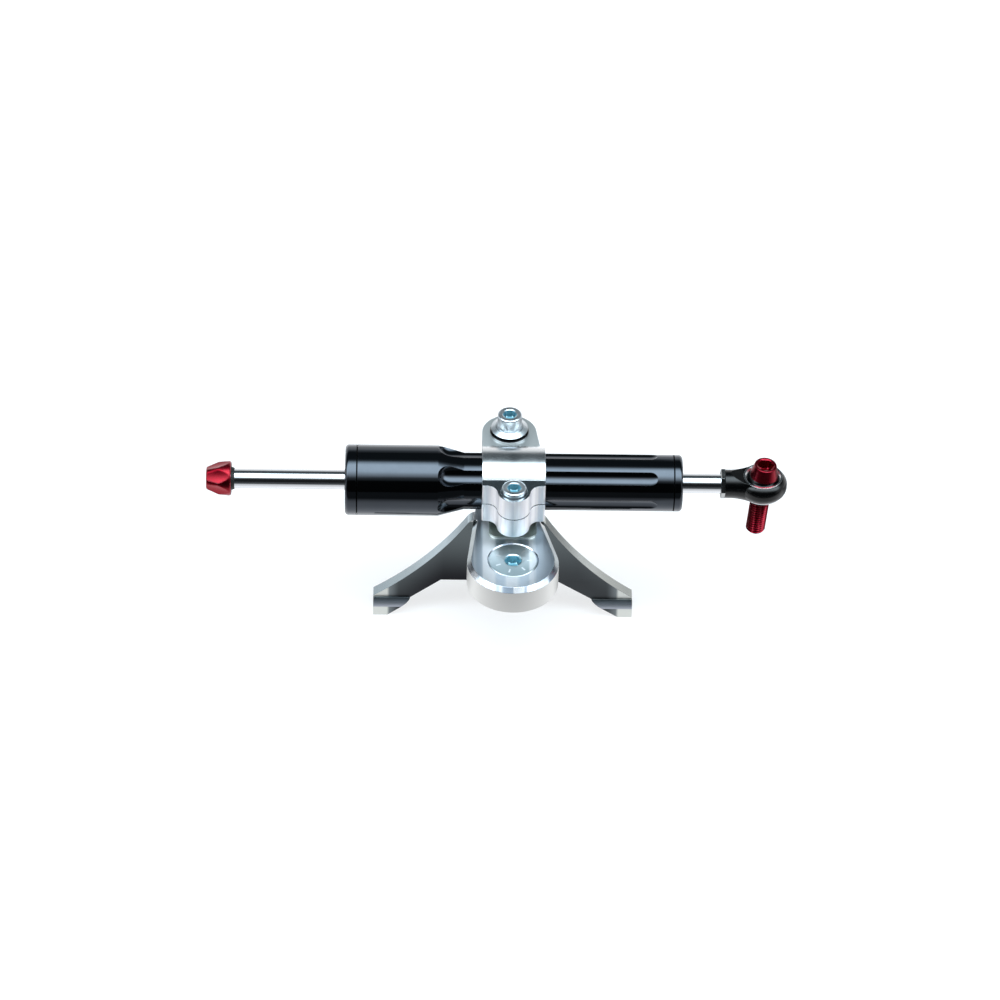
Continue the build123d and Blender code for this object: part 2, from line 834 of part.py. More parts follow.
with BuildPart(cross_plane(rod_left_x)) as piston_rod:
    turn([
        (rod_left_x, 0),
        (rod_left_x, rod_radius - rod_edge),
        (rod_left_x + rod_edge, rod_radius),
        (rod_right_x - rod_edge, rod_radius),
        (rod_right_x, rod_radius - rod_edge),
        (rod_right_x, 0),
    ])
    rod_grooves()
    turn([
        (rod_left_x - overrun, 0),
        (rod_left_x - overrun, needle_bore_radius),
        (piston_centre, needle_bore_radius),
        (piston_centre, orifice_radius),
        (piston_right_x + clip_thickness + overrun, orifice_radius),
        (piston_right_x + clip_thickness + overrun, 0),
    ], mode=Mode.SUBTRACT)
    # Cross holes that let the oil past the needle, on both sides of the piston
    for hole_x in (
        piston_left_x - clip_thickness - overrun,
        piston_right_x + clip_thickness + overrun,
    ):
        with Locations(Plane(origin=(hole_x, axis_back, axis_height))):
            Cylinder(orifice_radius, 2 * (rod_radius + overrun), mode=Mode.SUBTRACT)
    # Pocket of the detent in the rod's end
    with Locations((0, detent_circle_radius, 0)):
        Cylinder(
            detent_ball_radius + seat_gap, detent_spring_length + 2 * detent_ball_radius,
            mode=Mode.SUBTRACT, align=(Align.CENTER, Align.CENTER, Align.MIN),
        )
finish(piston_rod, "piston_rod")

# Piston, its band and the clips that hold it
piston_radius = oil_bore_radius - piston_gap
with BuildPart() as piston:
    turn([
        (piston_left_x, rod_radius + seat_gap),
        (piston_right_x, rod_radius + seat_gap),
        (piston_right_x, piston_radius),
        (piston_centre + band_width / 2, piston_radius),
        (piston_centre + band_width / 2, piston_radius - band_depth),
        (piston_centre - band_width / 2, piston_radius - band_depth),
        (piston_centre - band_width / 2, piston_radius),
        (piston_left_x, piston_radius),
    ])
finish(piston, "piston")

with BuildPart() as piston_band:
    tube(
        piston_centre - band_width / 2 + running_gap,
        piston_centre + band_width / 2 - running_gap,
        oil_bore_radius - seat_gap,
        piston_radius - band_depth + running_gap,
    )
finish(piston_band, "piston_band")

with BuildPart() as piston_clips:
    for place in clip_places:
        tube(place, place + clip_thickness, clip_radius, clip_floor)
finish(piston_clips, "piston_clips")

# Scoop cutter: a wide, slightly conical cutter that hollows one grip of the knob
scoop_axis = scoop_floor + scoop_radius
scoop_end_x = knob_left_x + scoop_end
with BuildPart() as scoop_cutter:
    revolve(
        outline(Plane.XY, [
            (knob_left_x - overrun, 0),
            (knob_left_x - overrun, scoop_radius),
            (knob_left_x, scoop_radius),
            (scoop_end_x, scoop_axis - knob_radius),
            (scoop_end_x, 0),
        ]),
        axis=Axis.X,
    )

# Adjuster knob: a round cone with six scooped grips, bored for the rod
with BuildPart() as adjuster_knob:
    knob_bore_x = rod_left_x - seat_gap
    turn([
        (knob_left_x, 0),
        (knob_left_x, knob_face_radius - knob_face_edge),
        (knob_left_x + knob_face_edge, knob_face_radius),
        (knob_left_x + knob_cone_length, knob_waist_radius),
        (knob_right_x - knob_rim, knob_radius),
        (knob_right_x, knob_radius),
        (knob_right_x, 0),
    ])
    fillet(widest_edges(adjuster_knob)[-1], knob_rim)
    for number in range(scoop_count):
        scoop_turn = scoop_angle + number * 360 / scoop_count
        scoop_place = Plane(
            origin=axis_origin,
            x_dir=(1, 0, 0),
            z_dir=(0, sin(radians(scoop_turn)), -cos(radians(scoop_turn))),
        )
        with Locations(scoop_place.location * Location((0, scoop_axis, 0))):
            add(scoop_cutter.part, mode=Mode.SUBTRACT)
    turn([
        (knob_bore_x, 0),
        (knob_bore_x, rod_radius + running_gap),
        (knob_clip_x - running_gap, rod_radius + running_gap),
        (knob_clip_x - running_gap, knob_clip_radius + running_gap),
        (knob_clip_x + knob_clip_thickness + running_gap, knob_clip_radius + running_gap),
        (knob_clip_x + knob_clip_thickness + running_gap, rod_radius + running_gap),
        (knob_right_x + overrun, rod_radius + running_gap),
        (knob_right_x + overrun, 0),
    ], mode=Mode.SUBTRACT)
    # The hexagon socket that turns the needle
    hexagon(cross_plane(knob_bore_x), drive_flats + 2 * running_gap, drive_length + drive_room)
finish(adjuster_knob, "adjuster_knob")

# Knob clip: the ring that keeps the knob on the rod
with BuildPart() as knob_clip:
    tube(knob_clip_x, knob_clip_x + knob_clip_thickness, knob_clip_radius, clip_floor)
finish(knob_clip, "knob_clip")

# Detent: a ball and a spring that click the knob round
with BuildPart(cross_plane(rod_left_x)) as detent_ball:
    with Locations((0, detent_circle_radius, detent_ball_radius + seat_gap)):
        Sphere(detent_ball_radius)
finish(detent_ball, "detent_ball")

with BuildPart() as detent_spring:
    spring_start = rod_left_x + 2 * detent_ball_radius + 2 * seat_gap
    fold = (detent_spring_length - 2 * seat_gap) / (2 * detent_spring_folds)
    spring_radius = detent_ball_radius - seat_gap
    spring_height = axis_height + detent_circle_radius
    spring_axis = Axis((0, axis_back, spring_height), (1, 0, 0))
    spring_points = [(spring_start, 0)]
    for number in range(2 * detent_spring_folds + 1):
        radius = spring_radius if number % 2 else spring_radius * 2 / 3
        spring_points.append((spring_start + number * fold, radius))
    spring_points.append((spring_start + 2 * detent_spring_folds * fold, 0))
    spring_plane = Plane(origin=(0, axis_back, spring_height), x_dir=(1, 0, 0), z_dir=(0, -1, 0))
    revolve(outline(spring_plane, spring_points), axis=spring_axis)
finish(detent_spring, "detent_spring")

# Metering needle: screws along inside the rod, turned by the knob
with BuildPart() as metering_needle:
    needle_left_x = rod_left_x + drive_room
    needle_right_x = piston_centre - running_gap
    turn([
        (needle_left_x, 0),
        (needle_left_x, needle_radius),
        (needle_right_x - needle_tip_length, needle_radius),
        (needle_right_x, needle_tip_radius),
        (needle_right_x, 0),
    ])
    with BuildSketch(cross_plane(needle_left_x)):
        RegularPolygon(drive_flats / 2, 6, major_radius=False)
    extrude(amount=needle_left_x - knob_bore_x + drive_length, dir=(-1, 0, 0))
finish(metering_needle, "metering_needle")

# Bump ring: a rubber cone that cushions the knob against the cap
with BuildPart() as bump_ring:
    turn([
        (knob_right_x + seat_gap, rod_radius + seat_gap),
        (bump_right_x, rod_radius + seat_gap),
        (bump_right_x, bump_small_radius),
        (knob_right_x + seat_gap, bump_big_radius),
    ])
finish(bump_ring, "bump_ring")

# Jam nut: thin and hexagonal, against the rod end
with BuildPart() as jam_nut:
    with BuildSketch(cross_plane(nut_left_x)):
        RegularPolygon(nut_flats / 2, 6, major_radius=False)
        Circle(rod_radius + seat_gap, mode=Mode.SUBTRACT)
    extrude(amount=nut_thickness - seat_gap)
    chamfer(jam_nut.faces().sort_by(Axis.X)[0].outer_wire().edges(), nut_edge)
finish(jam_nut, "jam_nut")

# Rod end housing: a round neck that flares into a rounded eye
flare_start = neck_straight - eye_offset
flare_end = flare_start + neck_flare_length

with BuildPart() as rod_end_housing:
    with BuildSketch(axis_plane):
        with BuildLine():
            Line((nut_right_x, 0), (nut_right_x, neck_radius))
            Line((nut_right_x, neck_radius), (eye_x + flare_start, neck_radius))
            RadiusArc(
                (eye_x + flare_start, neck_radius),
                (eye_x + flare_end, neck_radius + neck_flare_rise),
                -(neck_flare_length**2 + neck_flare_rise**2) / (2 * neck_flare_rise),
            )
            Line((eye_x + flare_end, neck_radius + neck_flare_rise), (eye_x + flare_end, 0))
            Line((eye_x + flare_end, 0), (nut_right_x, 0))
        make_face()
    revolve(axis=damper_axis)
    # The neck thins to the eye's height above and below
    with BuildSketch(axis_plane):
        with BuildLine():
            Polyline(
                (nut_right_x, -neck_radius),
                (eye_x + flare_start, -neck_radius),
                (eye_x - eye_radius + eye_round / 2, -eye_half_height),
                (eye_x, -eye_half_height),
                (eye_x, eye_half_height),
                (eye_x - eye_radius + eye_round / 2, eye_half_height),
                (eye_x + flare_start, neck_radius),
                (nut_right_x, neck_radius),
                close=True,
            )
        make_face()
    extrude(amount=eye_radius, both=True, mode=Mode.INTERSECT)
    with BuildSketch(eye_plane) as eye_profile:
        with Locations((eye_radius / 2, 0)):
            Rectangle(eye_radius, 2 * eye_half_height)
        fillet(eye_profile.vertices().group_by(Axis.X)[-1], eye_round)
    revolve(axis=eye_axis)
    with Locations((eye_x, axis_back, axis_height)):
        Cylinder(
            eye_race_radius + seat_gap, 2 * (eye_half_height + overrun), mode=Mode.SUBTRACT,
        )
    turn([
        (nut_right_x - overrun, 0),
        (nut_right_x - overrun, rod_radius + seat_gap),
        (rod_right_x + rod_end_wall / 2, rod_radius + seat_gap),
        (rod_right_x + rod_end_wall / 2, 0),
    ], mode=Mode.SUBTRACT)
finish(rod_end_housing, "rod_end_housing")

# Rod end race and ball
eye_race_sphere = eye_sphere_radius + ball_gap
eye_chamfer_bottom = eye_half_height - eye_race_chamfer_depth
eye_mouth_radius = sqrt(eye_race_sphere**2 - eye_chamfer_bottom**2)

with BuildPart() as rod_end_race:
    mouth = eye_mouth_radius - ball_gap
    turn_upright(eye_plane, eye_axis, [
        (mouth, -eye_chamfer_bottom),
        (eye_mouth_radius + eye_race_chamfer_width, -eye_half_height),
        (eye_race_radius, -eye_half_height),
        (eye_race_radius, eye_half_height),
        (eye_mouth_radius + eye_race_chamfer_width, eye_half_height),
        (mouth, eye_chamfer_bottom),
    ])
    with Locations((eye_x, axis_back, axis_height)):
        Sphere(eye_race_sphere, mode=Mode.SUBTRACT)
finish(rod_end_race, "rod_end_race")

# The ball and its bolt lean together in the race
tilt = Rotation(eye_tilt_forward, eye_tilt_along, 0)
lean = Location((eye_x, axis_back, axis_height)) * tilt
lean_plane = Plane(lean)
lean_profile = Plane(lean * Rotation(90, 0, 0))
lean_axis = Axis(lean_plane.origin, lean_plane.z_dir)

with BuildPart(lean_plane) as rod_end_ball:
    Sphere(eye_sphere_radius)
    Cylinder(eye_sphere_radius, 2 * eye_ball_half, mode=Mode.INTERSECT)
    Cylinder(eye_bolt_radius + running_gap, 2 * eye_sphere_radius, mode=Mode.SUBTRACT)
finish(rod_end_ball, "rod_end_ball")

with BuildPart() as rod_end_bolt:
    head_bottom = eye_ball_half + seat_gap
    thread_top = -eye_ball_half - eye_thread_gap
    turn_upright(lean_profile, lean_axis, [
        (0, -eye_bolt_reach),
        (eye_bolt_radius - eye_tip_bevel, -eye_bolt_reach),
        (eye_bolt_radius, eye_tip_bevel - eye_bolt_reach),
        (eye_bolt_radius, thread_top),
        (eye_shank_radius, thread_top),
        (eye_shank_radius, head_bottom),
        (eye_head_base_radius - eye_head_edge, head_bottom),
        (eye_head_base_radius, head_bottom + eye_head_edge),
        (eye_head_top_radius, eye_head_top - eye_head_edge),
        (eye_head_top_radius - eye_head_edge, eye_head_top),
        (0, eye_head_top),
    ])
    hexagon(lean_plane.offset(eye_head_top), eye_socket_flats, eye_socket_depth)
finish(rod_end_bolt, "rod_end_bolt")
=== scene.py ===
from math import cos, pi, radians, sin, sqrt

import bmesh
import bpy
from mathutils import Matrix, Vector


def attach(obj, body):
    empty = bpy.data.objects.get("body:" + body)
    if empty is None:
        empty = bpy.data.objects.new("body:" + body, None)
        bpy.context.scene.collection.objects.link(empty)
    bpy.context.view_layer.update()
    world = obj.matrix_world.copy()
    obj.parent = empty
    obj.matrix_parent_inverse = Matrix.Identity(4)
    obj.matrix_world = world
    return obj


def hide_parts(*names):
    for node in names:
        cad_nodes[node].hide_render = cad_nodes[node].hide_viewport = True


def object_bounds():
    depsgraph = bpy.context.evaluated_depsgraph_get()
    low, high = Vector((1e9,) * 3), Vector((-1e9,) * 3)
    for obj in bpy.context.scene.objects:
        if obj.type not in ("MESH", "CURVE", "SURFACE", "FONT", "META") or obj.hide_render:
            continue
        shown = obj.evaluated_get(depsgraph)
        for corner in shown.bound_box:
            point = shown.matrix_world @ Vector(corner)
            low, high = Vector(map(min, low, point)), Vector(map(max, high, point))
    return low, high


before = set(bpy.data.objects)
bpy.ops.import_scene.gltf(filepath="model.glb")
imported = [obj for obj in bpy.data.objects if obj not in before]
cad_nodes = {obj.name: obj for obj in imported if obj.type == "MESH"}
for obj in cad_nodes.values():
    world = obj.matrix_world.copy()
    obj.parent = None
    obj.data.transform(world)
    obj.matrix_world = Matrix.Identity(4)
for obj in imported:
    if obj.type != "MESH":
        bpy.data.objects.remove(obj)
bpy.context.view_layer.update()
MM = 0.001

# Upright axes of the screws, and the rod end's eye with the lean of its bolt
FRAME_SCREW = (0.0, 0.0)
CLAMP_SCREW = (0.0, 12.8)
PIVOT = (-1.6, 50.4)
EYE = Vector((102.3, 30.6, 28.0))
LEAN = Matrix.Rotation(radians(3.0), 4, "X") @ Matrix.Rotation(radians(3.5), 4, "Y")
LEAN_WAY = LEAN @ Vector((0.0, 0.0, 1.0))

# Places that bound what is painted: in x the caps' joints, in y the ends of boss and clamp
# lobe and the start of the rear lug, and the rest in z
CAP_JOINTS = (-63.9, 65.6)
BEHIND_BOSS = 20.0
BEHIND_LOBE = 22.0
BEFORE_LUG = 40.0
WASHER_TOP = 41.35
BOSS_TOP = 12.0
PADS_TOP = -20.0
ABOVE_TOES = -30.0
TOE_TOP = -30.9
TOE_FRONT = -33.8

# Camera at the photograph's place, in degrees, metres and the photograph's pixels, with the
# sensor in millimetres
TARGET = Vector((0.0, 0.0306, 0.028))
TARGET_PIXEL = (513.19, 481.38)
AZIMUTH = -1.683
ELEVATION = 40.052
ROLL = 1.718
DISTANCE = 1.7766
FOCAL_PIXELS = 4337.1
IMAGE = 1000.0
SENSOR = 36.0
NEAREST, FARTHEST = 0.05, 30.0


def make_camera():
    """A camera that looks at the damper's middle, turned and shifted as in the photograph."""
    data = bpy.data.cameras.new("camera")
    camera = bpy.data.objects.new("camera", data)
    bpy.context.scene.collection.objects.link(camera)
    azimuth, elevation = radians(AZIMUTH), radians(ELEVATION)
    back = Vector((
        sin(azimuth) * cos(elevation),
        -cos(azimuth) * cos(elevation),
        sin(elevation),
    ))
    turn = (-back).to_track_quat("-Z", "Y").to_matrix().to_4x4()
    roll = Matrix.Rotation(radians(ROLL), 4, "Z")
    camera.matrix_world = Matrix.Translation(TARGET + back * DISTANCE) @ turn @ roll
    data.sensor_width = SENSOR
    data.lens = FOCAL_PIXELS / IMAGE * SENSOR
    data.shift_x = (IMAGE / 2 - TARGET_PIXEL[0]) / IMAGE
    data.shift_y = (TARGET_PIXEL[1] - IMAGE / 2) / IMAGE
    data.clip_start = NEAREST
    data.clip_end = FARTHEST
    bpy.context.scene.camera = camera


class Nodes:
    """Makes the shader nodes of one tree. A mask is a number from 0 to 1 at each point."""

    # A Mix node keeps its numbers and its colours on sockets of their own
    NUMBERS = (2, 3)
    COLOURS = (6, 7)
    COLOUR_RESULT = 2

    def __init__(self, tree):
        self.tree = tree
        tree.nodes.clear()

    def add(self, kind, inputs=None, **settings):
        """A node with its settings, and its inputs linked or set."""
        made = self.tree.nodes.new("ShaderNode" + kind)
        for name, value in settings.items():
            setattr(made, name, value)
        for name, value in (inputs or {}).items():
            if isinstance(value, bpy.types.NodeSocket):
                self.tree.links.new(value, made.inputs[name])
            else:
                made.inputs[name].default_value = value
        return made

    def maths(self, operation, *values):
        """The result of one sum on numbers."""
        return self.add("Math", dict(enumerate(values)), operation=operation).outputs[0]

    def product(self, *factors):
        """Factors multiplied: where every mask holds, at the strength of any number."""
        result = factors[0]
        for factor in factors[1:]:
            result = self.maths("MULTIPLY", result, factor)
        return result

    def mix_numbers(self, mask, first, second):
        """A number between two numbers."""
        inputs = {0: mask, **dict(zip(self.NUMBERS, (first, second)))}
        return self.add("Mix", inputs, data_type="FLOAT").outputs[0]

    def mix_colours(self, mask, first, second):
        """A colour between two colours."""
        inputs = {0: mask}
        for number, value in zip(self.COLOURS, (first, second)):
            linked = isinstance(value, bpy.types.NodeSocket)
            inputs[number] = value if linked else (*value, 1.0)
        return self.add("Mix", inputs, data_type="RGBA").outputs[self.COLOUR_RESULT]

    def span(self, value, low, high, start=0.0, end=1.0):
        """A value taken from one range to another, smoothly."""
        inputs = {
            "Value": value, "From Min": low, "From Max": high, "To Min": start, "To Max": end,
        }
        return self.add("MapRange", inputs, interpolation_type="SMOOTHSTEP").outputs[0]

    def over(self, value, edge, soft):
        """A mask of what is above an edge."""
        return self.span(value, edge - soft, edge + soft, 0.0, 1.0)

    def under(self, value, edge, soft):
        """A mask of what is below an edge."""
        return self.span(value, edge - soft, edge + soft, 1.0, 0.0)

    def separate(self, vector):
        """The x, y and z of a vector."""
        return tuple(self.add("SeparateXYZ", {0: vector}).outputs)

    def noise(self, place, scale, detail, roughness=0.5):
        """Noise all over a place."""
        inputs = {"Vector": place, "Scale": scale, "Detail": detail, "Roughness": roughness}
        return self.add("TexNoise", inputs).outputs[0]

    def noise_along(self, way, scale, detail):
        """Noise that changes along one way only."""
        inputs = {"W": way, "Scale": scale, "Detail": detail}
        return self.add("TexNoise", inputs, noise_dimensions="1D").outputs[0]


# World: a soft studio, told by the angle round the damper's axis from the viewer's horizon.
# Each entry holds the angle in degrees, the light's level and how blue it is.
STUDIO = (
    # Light from below, and the dark round the viewer
    (-180, 0.95, 0.0), (-60, 0.95, 0.0), (-40, 0.70, 0.0), (-30, 0.10, 0.2), (-20, 0.012, 0.5),
    (36, 0.015, 0.5),
    # The soft box overhead
    (46, 0.35, 0.5), (58, 2.6, 0.6), (68, 4.6, 0.7), (76, 5.0, 0.7), (90, 5.0, 0.7),
    (98, 2.8, 0.8), (105, 0.35, 0.9),
    # The dark behind it, and the white backdrop
    (111, 0.07, 1.0), (144, 0.06, 1.0), (151, 0.40, 0.4), (159, 0.88, 0.2), (180, 1.0, 0.0),
)
STUDIO_TOP = 5.0
STUDIO_SIDES = (0.11, 0.115, 0.12)
SIDES_FROM, SIDES_FULL = 0.75, 0.97
RED_LOSS, BLUE_GAIN = 0.2, 0.12
WHITE = (1.0, 1.0, 1.0, 1.0)


def make_world():
    """White behind for the camera, and the soft box, dark gaps and backdrop as light."""
    world = bpy.data.worlds.new("studio")
    bpy.context.scene.world = world
    world.use_nodes = True
    nodes = Nodes(world.node_tree)
    x, y, z = nodes.separate(nodes.add("TexCoord").outputs["Generated"])
    angle = nodes.maths("ARCTAN2", z, nodes.maths("MULTIPLY", y, -1.0))
    share = nodes.maths("MULTIPLY_ADD", angle, 0.5 / pi, 0.5)
    ramp = nodes.add("ValToRGB", {"Fac": share})
    elements = ramp.color_ramp.elements
    while len(elements) > 1:
        elements.remove(elements[-1])
    for number, (degree, level, blue) in enumerate(STUDIO):
        at = (degree + 180) / 360
        element = elements[0] if number == 0 else elements.new(at)
        element.position = at
        shade = level / STUDIO_TOP
        element.color = (shade * (1 - RED_LOSS * blue), shade, shade * (1 + BLUE_GAIN * blue), 1.0)
    side = nodes.span(nodes.maths("ABSOLUTE", x), SIDES_FROM, SIDES_FULL)
    around = nodes.mix_colours(side, ramp.outputs[0], STUDIO_SIDES)
    light = nodes.add("Background", {"Color": around, "Strength": STUDIO_TOP})
    white = nodes.add("Background", {"Color": WHITE, "Strength": 1.0})
    seen = nodes.add("LightPath").outputs["Is Camera Ray"]
    mixed = nodes.add("MixShader", {0: seen, 1: light.outputs[0], 2: white.outputs[0]})
    nodes.add("OutputWorld", {"Surface": mixed.outputs[0]})


# Floor: its size, how far it lies under the feet, how white the camera sees it, and what
# gloss mirrors of it
FLOOR_RADIUS = 6.0
FLOOR_SIDES = 96
FLOOR_GAP = 0.0001
FLOOR_COLOURS = ((0.96, 0.96, 0.96), (1.0, 1.0, 1.0))
FLOOR_GLOW = 1.03
FLOOR_GLOW_SHARE = 0.62
FLOOR_MOTTLE = (30.0, 5.0)
FLOOR_MIRROR_COLOUR = (0.95, 0.97, 1.0, 1.0)
FLOOR_MIRROR_SHARE = 0.97
# Steps of the mirrored floor: where in y each starts and ends, and the levels that it joins
MIRROR_NEAR = (-0.150, -0.035, 0.015, 0.85)
MIRROR_UNDER = (-0.04, 0.03, 0.0, 0.45)
DIMMED_FROM = (0.035, 0.080, 0.0, 0.74)
DIMMED_UNTIL = (0.13, 0.22, 1.0, 0.0)


def floor_mirrored(nodes, y):
    """How bright gloss mirrors the floor: dark in front, light under the damper.

    Behind the bracket a band is dimmer again, so that the plate's back shows against it.
    """
    level = nodes.maths("ADD", nodes.span(y, *MIRROR_NEAR), nodes.span(y, *MIRROR_UNDER))
    dimmed = nodes.product(nodes.span(y, *DIMMED_FROM), nodes.span(y, *DIMMED_UNTIL))
    return nodes.product(level, nodes.maths("SUBTRACT", 1.0, dimmed))


def make_floor():
    """A plain white table under the feet, which keeps the shadow."""
    mesh = bpy.data.meshes.new("floor")
    work = bmesh.new()
    bmesh.ops.create_circle(work, cap_ends=True, segments=FLOOR_SIDES, radius=FLOOR_RADIUS)
    work.to_mesh(mesh)
    work.free()
    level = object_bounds()[0].z
    floor = bpy.data.objects.new("floor", mesh)
    bpy.context.scene.collection.objects.link(floor)
    floor.location.z = level - FLOOR_GAP
    material = bpy.data.materials.new("table")
    material.use_nodes = True
    nodes = Nodes(material.node_tree)
    place = nodes.add("NewGeometry").outputs["Position"]
    mirrored_level = floor_mirrored(nodes, nodes.separate(place)[1])
    pale = nodes.mix_colours(nodes.noise(place, *FLOOR_MOTTLE), *FLOOR_COLOURS)
    matte = nodes.add("BsdfDiffuse", {"Color": pale})
    glow = nodes.add("Emission", {"Color": WHITE, "Strength": FLOOR_GLOW})
    mirror = nodes.add("Emission", {"Color": FLOOR_MIRROR_COLOUR, "Strength": mirrored_level})
    path = nodes.add("LightPath")
    seen = nodes.product(path.outputs["Is Camera Ray"], FLOOR_GLOW_SHARE)
    first = nodes.add("MixShader", {0: seen, 1: matte.outputs[0], 2: glow.outputs[0]})
    mirrored = nodes.product(path.outputs["Is Glossy Ray"], FLOOR_MIRROR_SHARE)
    second = nodes.add("MixShader", {0: mirrored, 1: first.outputs[0], 2: mirror.outputs[0]})
    nodes.add("OutputMaterial", {"Surface": second.outputs[0]})
    mesh.materials.append(material)


class Coat(Nodes):
    """A finish while it is painted: where each point lies in millimetres and which way it
    faces, with the colour and the roughness so far."""

    def __init__(self, tree):
        super().__init__(tree)
        coordinates = self.add("TexCoord")
        to_mm = (1 / MM,) * 3
        self.place = self.add(
            "VectorMath", {0: coordinates.outputs["Object"], 1: to_mm}, operation="MULTIPLY"
        ).outputs[0]
        self.x, self.y, self.z = self.separate(self.place)
        self.facing_x, self.facing_y, self.facing_z = self.separate(coordinates.outputs["Normal"])
        self.colour = None
        self.roughness = None

    def size(self, value):
        """A number without its sign."""
        return self.maths("ABSOLUTE", value)

    def distance(self, axis):
        """How far each point lies from an upright axis."""
        reach_x = self.maths("SUBTRACT", self.x, axis[0])
        reach_y = self.maths("SUBTRACT", self.y, axis[1])
        squares = self.product(reach_x, reach_x), self.product(reach_y, reach_y)
        return self.maths("SQRT", self.maths("ADD", *squares))

    def walls(self):
        """A mask of what stands upright."""
        return self.under(self.size(self.facing_z), 0.3, 0.1)

    def paint(self, mask, colour=None, roughness=None):
        """Lay a colour, a roughness or both over the finish where a mask holds."""
        if colour is not None:
            self.colour = self.mix_colours(mask, self.colour, colour)
        if roughness is not None:
            self.roughness = self.mix_numbers(mask, self.roughness, roughness)


def tool_way(coat, lay):
    """What grows across the tool marks, so that they run as lay says."""
    if lay == "along":
        return coat.x
    if lay == "upright":
        return coat.z
    normal = coat.add("NewGeometry").outputs["Normal"]
    flat = coat.span(coat.size(coat.separate(normal)[2]), 0.6, 0.8)
    return coat.mix_numbers(flat, coat.z, coat.distance(lay))


# The noise of every finish: scale, detail and roughness. The patches of roughness are made of
# both, by these shares.
FINE = (5.0, 3.0, 0.5)
CLOUDS = (0.22, 4.0, 0.6)
CLOUD_SHARE, FINE_SHARE = 0.6, 0.4
BEVEL_SAMPLES = 4


def surface(name, colours, rough, lay, step, depth, grain=0.15, bevel=0.12, cloud=0.35,
            detail=None, constants=None):
    """A finish with tool marks, fine grain, cloudy colour and rounded edges.

    colours: the colour, and the one that it drifts towards by the share cloud.
    rough: the lowest and the highest roughness.
    lay: how the tool marks run. "along" is in rings round the damper, "upright" in rings
        round an upright pin, and an upright axis turns the flat faces' marks round it.
    step, depth: how far apart and how deep the marks are. grain is the share of fine grain.
    bevel: the edges' radius.
    detail: a function that paints what one piece has of its own, and the light and shade painted
    on it.
    constants: what is set on the shader's own sockets.
    """
    material = bpy.data.materials.new(name)
    material.use_nodes = True
    coat = Coat(material.node_tree)
    lines = coat.noise_along(tool_way(coat, lay), 1 / step, 2.0)
    fine = coat.noise(coat.place, *FINE)
    clouds = coat.noise(coat.place, *CLOUDS)
    rounded = coat.add("Bevel", {"Radius": bevel * MM}, samples=BEVEL_SAMPLES).outputs[0]
    marks = coat.maths("ADD", lines, coat.product(fine, grain))
    bump = coat.add("Bump", {
        "Height": marks, "Normal": rounded, "Strength": 1.0, "Distance": depth * MM,
    }).outputs[0]
    coat.colour = coat.mix_colours(coat.span(clouds, 0.35, 0.65, 0.0, cloud), *colours)
    patch = coat.maths("ADD", coat.product(clouds, CLOUD_SHARE), coat.product(fine, FINE_SHARE))
    coat.roughness = coat.span(patch, 0.3, 0.7, *rough)
    if detail:
        detail(coat)
    shader = coat.add("BsdfPrincipled", {
        "Base Color": coat.colour, "Roughness": coat.roughness, "Normal": bump,
    })
    for socket, value in (constants or {}).items():
        shader.inputs[socket].default_value = value
    coat.add("OutputMaterial", {"Surface": shader.outputs[0]})
    return material


# What single pieces have of their own, and the light and shade painted on them
SOCKET_BLUE = (0.27, 0.52, 0.60)
# The colour of a painted highlight
PAINTED_HIGHLIGHT = (0.92, 0.94, 0.95)

# How far from its axis a socket's blue starts and is full
M10_SOCKET = (3.7, 3.4)
M6_SOCKET = (3.0, 2.7)


def paint_socket(coat, away, socket):
    """Blue passivation that shows down in a hexagon socket."""
    coat.paint(coat.span(away, *socket, 0.0, 0.85), SOCKET_BLUE)


def frame_screw_detail(coat):
    """A flat head, painted darker at the front as shade, with a painted highlight on its right
    side and plain strokes round its socket.
    """
    top = coat.over(coat.facing_z, 0.95, 0.03)
    away = coat.distance(FRAME_SCREW)
    # Painted shade: the head's top darker at the front, lighter towards the back
    far = 7.0
    to_back = coat.span(coat.y, -far, far)
    coat.paint(top, coat.mix_colours(to_back, (0.34, 0.42, 0.44), (0.74, 0.82, 0.84)), 0.37)
    # A painted highlight on the head's right side
    right_side, head_edge = 6.6, 9.5
    right = coat.product(
        top, coat.over(coat.x, right_side, 0.5), coat.under(away, head_edge, 0.3), 0.7
    )
    coat.paint(right, PAINTED_HIGHLIGHT)
    strokes, stroke_start, stroke_end = 7.0, 5.6, 7.7
    turns = coat.maths("COSINE", coat.product(coat.maths("ARCTAN2", coat.y, coat.x), strokes))
    stroke = coat.product(
        coat.over(away, stroke_start, 0.15), coat.under(away, stroke_end, 0.15),
        coat.over(turns, 0.93, 0.05), top, 0.75,
    )
    coat.paint(stroke, (0.92, 0.95, 0.96))
    paint_socket(coat, away, M10_SOCKET)


def paint_plate_back_shade(coat):
    """The plate's milled back, painted a darker grey as shade."""
    back = coat.product(
        coat.over(coat.facing_y, 0.45, 0.15), coat.over(coat.y, BEHIND_BOSS, 1.0)
    )
    # Painted shade over the plate's back
    coat.paint(back, (0.52, 0.54, 0.55), 0.30)


